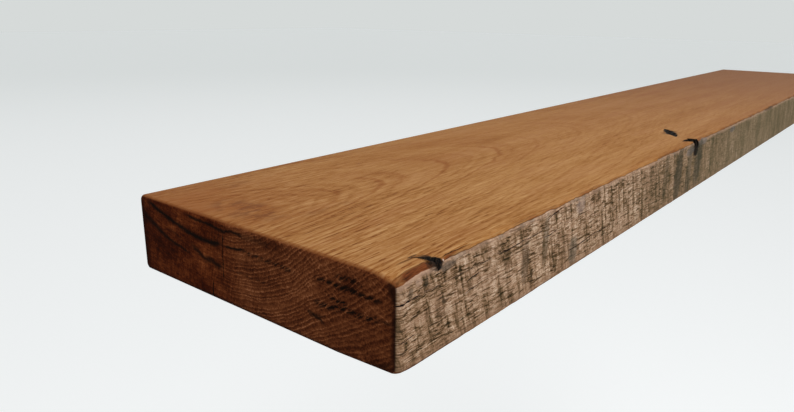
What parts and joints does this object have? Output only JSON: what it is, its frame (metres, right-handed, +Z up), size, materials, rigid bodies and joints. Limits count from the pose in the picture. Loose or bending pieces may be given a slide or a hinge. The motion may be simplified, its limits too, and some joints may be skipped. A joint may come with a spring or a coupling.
{
  "type": "floating wall shelf",
  "caption": "Thick solid oak plank shelf that slides onto steel rods standing out of a wall bar hidden in a groove in its back.",
  "frame": {"origin": "on the wall plane, half way along the shelf and half way up its thickness", "axes": "+X along the shelf towards its right-hand end as seen from the room, +Y into the wall, +Z up"},
  "size_m": [1.4, 0.283, 0.05],
  "materials": {
    "oak": "oiled and planed top, ends and underside; rough-sawn weathered front edge",
    "bar_steel": "satin powder coat",
    "rod_steel": "cold-drawn, lengthwise draw lines",
    "weld_metal": "ground weld with heat tint",
    "screw_zinc": "yellow-passivated zinc",
    "insert_brass": "turned",
    "lock_screw_steel": "black oxide, oiled"
  },
  "bodies": {
    "wall_bracket": {"wall_bar": "bar_steel", "support_rod_1": "rod_steel", "support_rod_2": "rod_steel", "support_rod_3": "rod_steel", "support_rod_4": "rod_steel", "rod_weld_1": "weld_metal", "rod_weld_2": "weld_metal", "rod_weld_3": "weld_metal", "rod_weld_4": "weld_metal", "wall_screw_1": "screw_zinc", "wall_screw_2": "screw_zinc", "wall_screw_3": "screw_zinc", "wall_screw_4": "screw_zinc", "wall_screw_5": "screw_zinc", "wall_screw_6": "screw_zinc", "wall_screw_7": "screw_zinc", "wall_screw_8": "screw_zinc"},
    "shelf": {"oak_slab": "oak", "threaded_insert_1": "insert_brass", "threaded_insert_2": "insert_brass"},
    "left_lock": {"lock_screw_1": "lock_screw_steel"},
    "right_lock": {"lock_screw_2": "lock_screw_steel"}
  },
  "joints": [
    {"name": "shelf_pull_off", "type": "slide", "parent": "wall_bracket", "child": "shelf", "axis": [0, -1, 0], "range_m": [0, 0.16]},
    {"name": "left_lock_back_out", "type": "slide", "parent": "shelf", "child": "left_lock", "axis": [0, 0, -1], "range_m": [0, 0.0035]},
    {"name": "right_lock_back_out", "type": "slide", "parent": "shelf", "child": "right_lock", "axis": [0, 0, -1], "range_m": [0, 0.0035]}
  ]
}
